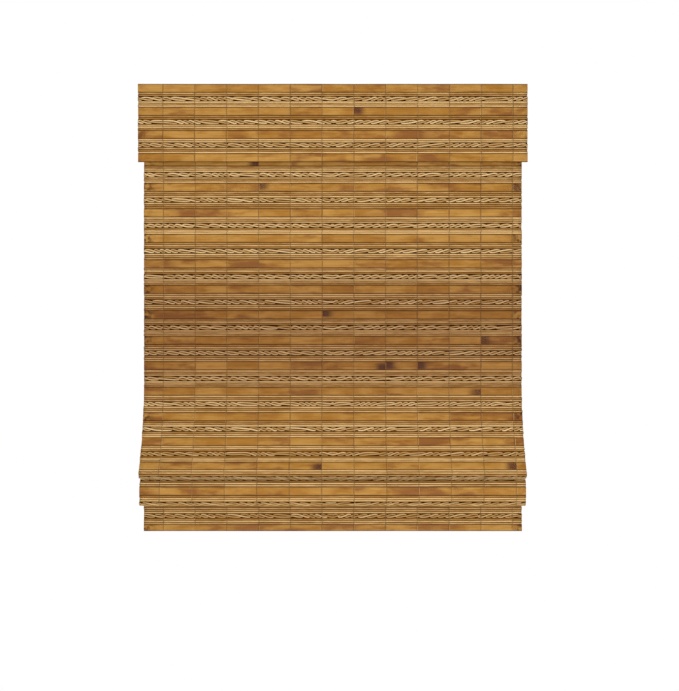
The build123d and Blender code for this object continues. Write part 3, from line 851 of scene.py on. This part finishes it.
for slot, (main, worn, smooth, rough, stretch, grain, plain) in madeFinishes.items():
    tone = {"Main": shade(*main), "Worn": shade(*worn), "Smooth": smooth, "Rough": rough}
    tone |= {"Stretch": stretch, "Grain": grain}
    made[slot] = finish(slot + "Finish", madeTone, tone, "made", madeGloss | plain)
nodeSlots = {part["node"]: part["material_slot"] for part in frame["record"]["subparts"]}
for name, node in frame["nodes"].items():
    if nodeSlots[name] in made:
        node.data.materials.clear()
        node.data.materials.append(made[nodeSlots[name]])
print("made parts finished:", len(made), "finishes")

# rings sewn behind the mat, with a stitch of thread on each
ringLook = {"radius": 5.0, "wire": 1.0, "sides": 12, "turnSides": 36}
stitchLook = {"radius": 1.55, "thread": 0.3, "sides": 8, "turnSides": 20, "aside": 0.35}
wireAngle = 80  # degrees: round wire stays smooth
stationXs = [-250.0, 0.0, 250.0]


def wireProfile(radius, wire, sides):
    angles = [turned(360 * index / sides) for index in range(sides + 1)]
    return [(radius + wire * c, wire * s) for c, s in angles]


ringBodies = {"panel_rings": "panel_row", "fold_rings": "hem", "bend_rings": "hem", "hem_rings": "hem"}
ringProfile = wireProfile(ringLook["radius"], ringLook["wire"], ringLook["sides"])
stitchProfile = wireProfile(stitchLook["radius"], stitchLook["thread"], stitchLook["sides"])
for node, body in ringBodies.items():
    low, high = (np.array(corner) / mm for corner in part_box(node))
    y, z = (low[1] + high[1]) / 2, (low[2] + high[2]) / 2
    name = "".join(part.capitalize() for part in node.split("_"))
    ringSpots = [(x, y, z) for x in stationXs]
    ringSkin, ringShape = made["ring_plastic"], (ringLook["turnSides"], wireAngle)
    rings = turnedPiece("sewn" + name, ringProfile, "z", ringSpots, ringSkin, *ringShape)
    asides = (-stitchLook["aside"], stitchLook["aside"])
    stitchSpots = [(x + aside, y - ringLook["radius"], z) for x in stationXs for aside in asides]
    stitchShape = stitchLook["turnSides"], wireAngle
    stitches = turnedPiece("stitch" + name, stitchProfile, "x", stitchSpots, warpThread, *stitchShape)
    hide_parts(node)
    for piece, slot in ((rings, "ring_plastic"), (stitches, "cord_braid")):
        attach(piece, body)
print("rings sewn on")

# lift cords: three strands twisted together, from the spools down to the stops
cordLook = {"strands": 3, "strand": 0.36, "swing": 0.34, "pitch": 7.0, "step": 1.4, "sides": 5}
cordColors = fibreColors((206, 188, 150), (166, 142, 100), (110, 86, 52), 0.0, 900.0)
cordBraid = finish("cordBraid", fibreTone, cordColors, "cord", fibreGloss)


def twistedCord(bag, centres):
    ups = np.linspace(0, 1, len(centres))
    length = np.linalg.norm(np.diff(centres, axis=0), axis=1).sum()
    tangents = np.gradient(centres, axis=0)
    tangents /= np.linalg.norm(tangents, axis=1)[:, None]
    aside = np.cross(tangents, (1.0, 0.0, 0.0) if abs(tangents[0, 0]) < 0.5 else (0.0, 0.0, 1.0))
    aside /= np.linalg.norm(aside, axis=1)[:, None]
    beside = np.cross(tangents, aside)
    circle = ellipse(cordLook["strand"], cordLook["strand"], cordLook["sides"])
    for strand in range(cordLook["strands"]):
        turns = fullTurn * (ups * length / cordLook["pitch"] + strand / cordLook["strands"])
        u = cordLook["swing"] * np.cos(turns)[:, None] + circle[None, :, 0]
        v = cordLook["swing"] * np.sin(turns)[:, None] + circle[None, :, 1]
        rings = centres[:, None, :] + u[:, :, None] * aside[:, None, :] + v[:, :, None] * beside[:, None, :]
        bag.add(rings, draws.uniform(), np.zeros((1, cordLook["sides"])), (ups * length)[:, None])


for side in ("left", "middle", "right"):
    node = "lift_cord_" + side
    low, high = (np.array(corner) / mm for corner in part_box(node))
    x, y = (low[0] + high[0]) / 2, (low[1] + high[1]) / 2
    heights = np.linspace(high[2], low[2], int((high[2] - low[2]) / cordLook["step"]))
    bag = StrandBag("liftCord" + side.capitalize())
    twistedCord(bag, np.stack([np.full_like(heights, x), np.full_like(heights, y), heights], axis=-1))
    cord = bag.piece(cordBraid)
    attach(cord, "head")
    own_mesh(cord)
    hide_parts(node)
print("lift cords hung")

# cord stops: small turned bells, in points of radius and height
stopLook = {
    "foot": [(1.0, 0.0), (2.5, 0.0), (3.0, 0.5), (3.1, 1.6)],
    "bell": [(3.6, 4.4), (4.6, 6.6), (4.8, 7.3), (4.5, 8.0), (1.0, 8.0)],
    "sides": 32,
    "sharpAngle": 50,
}
low, high = (np.array(corner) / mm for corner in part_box("cord_stops"))
stopSpots = [(x, (low[1] + high[1]) / 2, low[2]) for x in stationXs]
stopProfile, stopSides = stopLook["foot"] + stopLook["bell"], stopLook["sides"]
stopSkin, stopAngle = made["ring_plastic"], stopLook["sharpAngle"]
stops = turnedPiece("cordStopBells", stopProfile, "z", stopSpots, stopSkin, stopSides, stopAngle)
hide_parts("cord_stops")
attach(stops, "hem")

# spools: turned core and flanges, with the turns of cord that are on them at rest
spoolLook = {
    "core": 10.0,
    "flange": 12.5,
    "length": 20.0,
    "lip": 1.5,
    "hub": 4.6,
    "hubEnd": 17.5,
    "bore": 3.62,
    "edgeRound": 0.4,
    "hubRound": 0.3,
    "sides": 48,
}
woundLook = {"turns": 7.0, "steps": 40, "lift": 0.72, "start": 0.2, "pitch": 1.45}
half, outer = spoolLook["length"] / 2, spoolLook["length"] / 2 + spoolLook["lip"]
flange, hub, hubEnd = spoolLook["flange"], spoolLook["hub"], spoolLook["hubEnd"]
edge, hubRound = spoolLook["edgeRound"], spoolLook["hubRound"]
oneSide = [(spoolLook["core"], half), (flange - edge, half), (flange, half + edge)]
oneSide += [(flange, outer - edge), (flange - edge, outer), (hub + edge, outer)]
oneSide += [(hub, outer + edge), (hub, hubEnd - hubRound), (hub - hubRound, hubEnd)]
oneSide += [(spoolLook["bore"], hubEnd)]
spoolProfile = [(radius, -run) for radius, run in oneSide[::-1]] + oneSide
for side in ("left", "middle", "right"):
    node = "cord_spool_" + side
    low, high = (np.array(corner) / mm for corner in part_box(node))
    centre = (low + high) / 2
    spoolName, spoolSkin = "turnedSpool" + side.capitalize(), made["spool_plastic"]
    spool = turnedPiece(spoolName, spoolProfile, "x", [centre], spoolSkin, spoolLook["sides"])
    bag = StrandBag("woundCord" + side.capitalize())
    turns = np.linspace(0, fullTurn * woundLook["turns"], int(woundLook["steps"] * woundLook["turns"]))
    wound = spoolLook["core"] + woundLook["lift"]
    xs = woundLook["start"] + turns / fullTurn * woundLook["pitch"]
    twistedCord(bag, centre + np.stack([xs, -wound * np.cos(turns), wound * np.sin(turns)], axis=-1))
    cord = bag.piece(cordBraid)
    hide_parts(node)
    for piece, slot in ((spool, "spool_plastic"), (cord, "cord_braid")):
        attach(piece, "shaft")
print("stops and spools turned")

# camera straight in front, a little right of the middle
view = {"place": (0.0131, -2.019, -0.5125), "lens": 52.98, "nearest": 0.01}
camera = bpy.data.objects.new("roomCamera", bpy.data.cameras.new("roomCamera"))
camera.location = view["place"]
camera.rotation_euler = (math.radians(90), 0, 0)
camera.data.lens = view["lens"]
camera.data.clip_start = view["nearest"]
bpy.context.collection.objects.link(camera)
bpy.context.scene.camera = camera

# soft studio light: a broad lamp in front, weaker ones above and below it, and one behind
# each with its place, what it faces, its size, power and colour
lamps = {
    "frontLamp": ((0.25, -2.5, -0.7), (0.0, 0.0, -0.5), (2.0, 1.6), 23.0, (1.0, 0.99, 0.97)),
    "overheadLamp": ((-0.3, -1.25, 0.85), (0.0, 0.0, -0.25), (1.5, 0.8), 9.0, (1.0, 0.985, 0.95)),
    "lowLamp": ((0.25, -1.8, -1.1), (0.0, 0.0, -0.8), (1.4, 0.6), 13.0, (1.0, 0.99, 0.97)),
    "backLamp": ((-0.6, 2.2, 0.7), (0.0, 0.0, -0.4), (1.6, 1.6), 30.0, (0.97, 0.99, 1.0)),
}
for name, (spot, target, size, power, color) in lamps.items():
    lamp = bpy.data.lights.new(name, "AREA")
    lamp.shape = "RECTANGLE"
    lamp.size, lamp.size_y = size
    lamp.energy = power
    lamp.color = color
    holder = bpy.data.objects.new(name, lamp)
    holder.location = spot
    holder.rotation_euler = (Vector(target) - Vector(spot)).to_track_quat("-Z", "Y").to_euler()
    bpy.context.collection.objects.link(holder)

# white for the eye and for reflections, a plain grey for the light it sheds
white = (1.0, 1.0, 1.0, 1.0)
surround = {
    "ambient": 0.3,
    "floorDrop": -2.1,
    "floorSide": 8.0,
    "floorTone": (0.86, 0.86, 0.85, 1.0),
    "floorRough": 0.9,
    "shadowShare": 0.4,
    "shadowReach": 1.2,
    "whiteFrom": 2.4,
}


def seenDirectly(tree):
    rays = put(tree, "LightPath").outputs
    seen = calc(tree, "MAXIMUM", rays["Is Camera Ray"], rays["Is Glossy Ray"])
    return calc(tree, "MAXIMUM", seen, rays["Is Transmission Ray"])


world = bpy.data.worlds.new("paleSurround")
bpy.context.scene.world = world
world.use_nodes = True
tree = world.node_tree
ground = tree.nodes["Background"]
ground.inputs["Color"].default_value = white
tree.links.new(fade(tree, seenDirectly(tree), 0.0, 1.0, surround["ambient"], 1.0), ground.inputs["Strength"])

floorMesh = bpy.data.meshes.new("paleFloor")
reach = surround["floorSide"] / 2
corners = [(-reach, -reach, 0), (reach, -reach, 0), (reach, reach, 0), (-reach, reach, 0)]
floorMesh.from_pydata(corners, [], [(0, 1, 2, 3)])
floor = bpy.data.objects.new("paleFloor", floorMesh)
floor.location = (0, 0, surround["floorDrop"])
bpy.context.collection.objects.link(floor)
floorPaint = bpy.data.materials.new("floorPaint")
floorPaint.use_nodes = True
tree = floorPaint.node_tree
matt = tree.nodes["Principled BSDF"]
matt.inputs["Base Color"].default_value = surround["floorTone"]
matt.inputs["Roughness"].default_value = surround["floorRough"]
glow = put(tree, "Emission", {"Color": white, "Strength": 1.0})
spot = put(tree, "TexCoord").outputs["Object"]
fromMiddle = put(tree, "VectorMath", {0: spot}, operation="LENGTH").outputs["Value"]
shadowFade = surround["shadowReach"], surround["whiteFrom"], 1 - surround["shadowShare"], 1.0
glowShare = calc(tree, "MULTIPLY", seenDirectly(tree), fade(tree, fromMiddle, *shadowFade))
both = put(tree, "MixShader", {0: glowShare, 1: matt.outputs[0], 2: glow.outputs[0]})
tree.links.new(both.outputs[0], tree.nodes["Material Output"].inputs["Surface"])
floorMesh.materials.append(floorPaint)
bpy.context.scene.view_settings.view_transform = "Standard"
print("camera, lamps and floor set")
